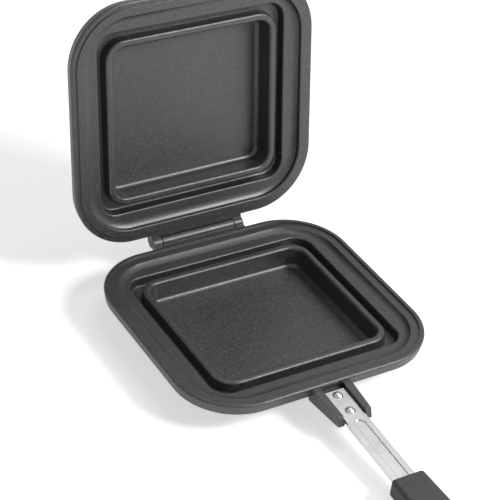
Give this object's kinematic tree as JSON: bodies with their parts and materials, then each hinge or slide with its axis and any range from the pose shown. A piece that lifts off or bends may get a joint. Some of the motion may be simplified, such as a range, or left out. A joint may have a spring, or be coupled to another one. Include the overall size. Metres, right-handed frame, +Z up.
{
  "type": "pie iron",
  "caption": "Hinged stovetop sandwich press with square cast pans, crimping ridges, riveted metal stems, straight grips and a wire latch bail.",
  "frame": {"origin": "centre of the lower pan's flat base, on the surface that it stands on", "axes": "+X along the hinge pin, +Y from the handles towards the hinge, +Z up; the lid is open on its stop"},
  "size_m": [0.15, 0.396, 0.3417],
  "materials": {
    "coated_pan": "satin charcoal non-stick coating on cast aluminium",
    "steel_pin": "blackened steel",
    "stem_sheet": "bright pressed stainless sheet",
    "rivet_metal": "smooth domed heads",
    "grip_plastic": "fine matte heat-proof moulding",
    "screw_steel": "plain",
    "bail_wire": "bright drawn wire"
  },
  "bodies": {
    "lower": {"lower_pan": "coated_pan", "lower_stem": "stem_sheet", "lower_stem_rivets": "rivet_metal", "lower_grip": "grip_plastic", "lower_grip_screw": "screw_steel"},
    "upper": {"upper_pan": "coated_pan", "hinge_pin": "steel_pin", "upper_stem": "stem_sheet", "upper_stem_rivets": "rivet_metal", "upper_grip": "grip_plastic", "upper_grip_screw": "screw_steel"},
    "bail": {"latch_bail": "bail_wire"}
  },
  "joints": [
    {"name": "lid_hinge", "type": "hinge", "parent": "lower", "child": "upper", "pos_m": [0, 0.0751, 0.02], "axis": [1, 0, 0], "range_deg": [0, 99]},
    {"name": "bail_pivot", "type": "hinge", "parent": "upper", "child": "bail", "pos_m": [0, 0.13733, 0.33245], "axis": [1, 0, 0], "range_deg": [0, 257.29]}
  ]
}
